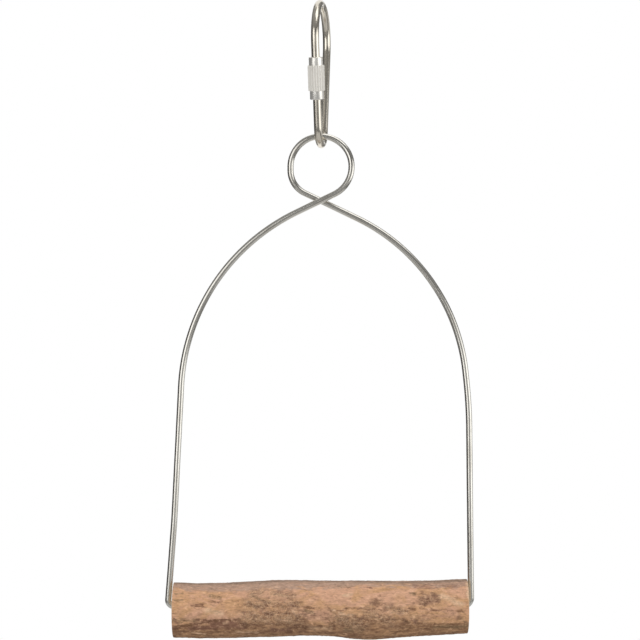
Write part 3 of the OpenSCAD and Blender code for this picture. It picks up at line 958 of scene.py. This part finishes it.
def dress_perch():
    """The branch: its own outline from the frame, with bark, cracks, fibres and sawn faces."""
    size = settings("perch")
    blank = Blank()
    angles = angles_round(PERCH_SIDES)
    places, sawn = branch_rings(blank, angles, size.edge)
    along = (places[..., 0] - blank.left) / (blank.right - blank.left)
    zeros = np.zeros(along.shape)
    depth, height = zeros + np.cos(angles), zeros + np.sin(angles)
    back = smooth_step(depth, -0.25, 0.25)
    ragged = cloud_field(places, (220, 500, 500), 1) * 0.1

    def boundary(shares):
        ahead, behind = (eased(row, along) for row in shares)
        return ahead * (1 - back) + behind * back

    crown = smooth_step(height + ragged - boundary(CROWN_SHARES), -0.1, 0.12)
    underside = smooth_step(boundary(BARK_SHARES) - height + ragged, -0.08, 0.1)
    behind = scattered_fields(places, (angles + math.pi) % FULL_TURN - math.pi)
    tones = {tone: np.maximum(field, behind[tone])
             for tone, field in mark_fields(places).items()}

    # Relief of the bark, the fibres and the marks
    lumps = cloud_field(places, (90, 160, 160), 2) * size.lump_h
    fibres = cloud_field(places, (260, 1500, 1500), 3, 4) * size.fibre_h
    tags = cloud_field(places, (700, 1100, 1100), 4, 2) * size.fibre_h * 0.7
    relief = lumps + fibres + tags + size.bark_h * (underside * 0.6 + crown * 0.3 - 0.3)
    relief += fibres * tones["frayed"] * 2 + size.bark_h * tones["pale"] * 0.4
    relief -= size.crack_h * (tones["dark"] * 0.7 + tones["mauve"] * 0.3 + tones["olive"] * 0.15)
    outward = np.stack([zeros, depth, height], axis=2)
    places = places + outward * (relief * (1 - sawn))[..., None]

    # Saw marks on the two faces
    facing = np.where(along < 0.5, 1.0, -1.0)
    on_face = (sawn > 0.7).astype(float)
    scratches = np.abs(cloud_field(places, (0, 260, 1900), 5, 2)) * size.saw_h
    places[..., 0] += facing * scratches * on_face

    # The growth rings' middle lies off the holes' axis
    years = np.stack([zeros, places[..., 1] + 0.9 * MM, places[..., 2] - PERCH_Z - 0.6 * MM],
                     axis=2)
    # Painted shade along the very top and, more weakly, the very foot, where the surface turns
    # away from the lights
    shaded_rims = np.maximum(smooth_step(height, 0.93, 1.0), smooth_step(-height, 0.9, 0.99) * 0.6)
    weather = shaded_rims * (0.8 + cloud_field(places, (150, 400, 400), 6) * 0.6)
    return loft("branch_perch", places, {"crown": crown, "underside": underside,
                                         "weather": weather, "sawn": sawn, "year": years,
                                         **tones})


# Operators


def finish_piece(piece, body, node, material):
    """Gives a piece its material in a new slot and its body, and hides the node it stands for."""
    piece.data.materials.append(material)
    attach(piece, body)
    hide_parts(node)


class SWING_OT_bend_arch(bpy.types.Operator):
    """Bends the arch's one wire with its crossed ring"""
    bl_idname = "swing.bend_arch"
    bl_label = "Bend the arch"

    def execute(self, context):
        finish_piece(bend_arch(), "arch", "arch_wire", plate_material("arch"))
        return {"FINISHED"}


class SWING_OT_bend_link(bpy.types.Operator):
    """Bends the pear-shaped link with its threaded ends"""
    bl_idname = "swing.bend_link"
    bl_label = "Bend the link"

    def execute(self, context):
        finish_piece(bend_link(), "link", "screw_link", plate_material("link"))
        return {"FINISHED"}


class SWING_OT_turn_sleeve(bpy.types.Operator):
    """Turns and flutes the screw sleeve"""
    bl_idname = "swing.turn_sleeve"
    bl_label = "Turn the sleeve"

    def execute(self, context):
        finish_piece(turn_sleeve(), "sleeve", "lock_sleeve", plate_material("sleeve"))
        return {"FINISHED"}


class SWING_OT_dress_perch(bpy.types.Operator):
    """Gives the perch its bark, cracks and sawn faces"""
    bl_idname = "swing.dress_perch"
    bl_label = "Dress the perch"

    def execute(self, context):
        finish_piece(dress_perch(), "perch", "perch", branch_material())
        return {"FINISHED"}


def soft_box(name, azimuth, elevation, distance, width, tall, brightness):
    """A soft box that faces the swing, seen in the metal and not by the camera."""
    light = bpy.data.lights.new(name, "AREA")
    light.shape = "RECTANGLE"
    light.size, light.size_y = width, tall
    light.energy = brightness * math.pi * width * tall
    lamp = add_object(name, light)
    around, above = math.radians(azimuth), math.radians(elevation)
    target = Vector((0, 0, (RING_TOP_Z + PERCH_Z) / 2))
    toward = Vector((math.sin(around) * math.cos(above), -math.cos(around) * math.cos(above),
                     math.sin(above)))
    lamp.location = target + toward * distance
    lamp.rotation_euler = toward.to_track_quat("Z", "Y").to_euler()
    lamp.visible_camera = False


def set_world(stage):
    """White behind the swing, an even room light, and a grey room in the metal."""
    world = bpy.data.worlds.new("studio")
    bpy.context.scene.world = world
    finish = Finish(world)
    camera_ray, glossy_ray, glass_ray = finish.outputs("ShaderNodeLightPath", *RAYS)
    direction = finish.node("ShaderNodeTexCoord", output="Generated")
    right, ahead, above = finish.outputs("ShaderNodeSeparateXYZ", *"XYZ", vector=direction)
    backdrop = ahead.rise(0.0, 0.35) * (1 - abs(right).rise(0.24, 0.4))
    ground = 1 - above.rise(-0.3, -0.2)
    level = (1 - ground) * (1 - above.rise(0.1, 0.3))
    room = 0.09 + (ahead * -1).rise(0.6, 0.95) * level * 0.3 + above.rise(0.1, 0.9) * 0.25
    room = room + ground * 0.13 + right.rise(0.3, 0.85) * level * 0.6
    seen = (camera_ray + glass_ray + glossy_ray * backdrop).rise(0.4, 0.6)
    metal = glossy_ray * room + (1 - glossy_ray) * stage.room_light
    surface = finish.node("ShaderNodeBackground", strength=seen + (1 - seen) * metal,
                          color=(1, 1, 1))
    finish.node("ShaderNodeOutputWorld", surface=surface)


def set_floor(stage):
    """A pale floor below the swing, white to the camera and with the swing's shadow on it."""
    mesh = bpy.data.meshes.new("floor")
    steps = np.linspace(-FLOOR_REACH, FLOOR_REACH, FLOOR_LINES)
    points = [(x, y, PERCH_Z - stage.floor_drop) for y in steps for x in steps]
    squares = range(FLOOR_LINES - 1)
    corners = [j * FLOOR_LINES + i for j in squares for i in squares]
    faces = [(c, c + 1, c + FLOOR_LINES + 1, c + FLOOR_LINES) for c in corners]
    mesh.from_pydata(points, [], faces)
    floor = add_object("floor", mesh)
    material, finish = new_material("pale floor")
    camera_ray, glossy_ray, glass_ray = finish.outputs("ShaderNodeLightPath", *RAYS)
    place = finish.node("ShaderNodeTexCoord", output="Object")
    across, back = finish.outputs("ShaderNodeSeparateXYZ", *"XY", vector=place)
    behind = back.rise(0.0, 0.3) * (1 - abs(across).rise(0.12, 0.25))
    glow = (camera_ray + glass_ray) * 0.61 + glossy_ray * (0.12 + behind * 0.6)
    matt = finish.node("ShaderNodeBsdfDiffuse", color=(0.5, 0.5, 0.5))
    light = finish.node("ShaderNodeEmission", color=(1, 1, 1), strength=glow)
    surface = finish.node("ShaderNodeAddShader", in_0=matt, in_1=light)
    finish.node("ShaderNodeOutputMaterial", surface=surface)
    mesh.materials.append(material)


class SWING_OT_set_stage(bpy.types.Operator):
    """Sets the camera, the soft boxes, the white background and the pale floor"""
    bl_idname = "swing.set_stage"
    bl_label = "Set the stage"

    def execute(self, context):
        stage = settings("stage")
        camera = bpy.data.cameras.new("camera")
        camera.lens = stage.focal
        camera.sensor_width = SENSOR_W / MM
        camera.clip_start = 0.01
        view = add_object("camera", camera)
        view.location = (stage.camera_x, -stage.distance, stage.camera_z)
        view.rotation_euler = (math.pi / 2, 0, 0)
        context.scene.camera = view
        context.scene.view_settings.view_transform = "Standard"
        for name, (*placing, share) in SOFT_BOXES.items():
            soft_box(name, *placing, stage.box_light * share)
        set_world(stage)
        set_floor(stage)
        return {"FINISHED"}


OPERATORS = (SWING_OT_set_stage, SWING_OT_bend_link, SWING_OT_turn_sleeve, SWING_OT_bend_arch,
             SWING_OT_dress_perch)
GROUPS = {"arch": ArchSizes, "link": LinkSizes, "sleeve": SleeveSizes, "perch": PerchSizes,
          "finishes": Finishes, "stage": StageSettings}


class SWING_PT_parts(bpy.types.Panel):
    """The swing's pieces and its stage"""
    bl_idname = "SWING_PT_parts"
    bl_label = "Bird swing"
    bl_space_type = "VIEW_3D"
    bl_region_type = "UI"
    bl_category = "Bird swing"

    def draw(self, context):
        for operator in OPERATORS:
            self.layout.operator(operator.bl_idname)
        for name, group in GROUPS.items():
            box = self.layout.box()
            box.label(text=group.__doc__)
            values = getattr(context.scene, "swing_" + name)
            for value in group.__annotations__:
                box.prop(values, value)


CLASSES = (*GROUPS.values(), *OPERATORS, SWING_PT_parts)


def register():
    for cls in CLASSES:
        bpy.utils.register_class(cls)
    for name, group in GROUPS.items():
        setattr(bpy.types.Scene, "swing_" + name, PointerProperty(type=group))


def unregister():
    for name in GROUPS:
        delattr(bpy.types.Scene, "swing_" + name)
    for cls in reversed(CLASSES):
        bpy.utils.unregister_class(cls)


def main():
    """Makes every piece in order."""
    register()
    for operator in OPERATORS:
        space, name = operator.bl_idname.split(".")
        getattr(getattr(bpy.ops, space), name)()


if __name__ == "__main__":
    main()
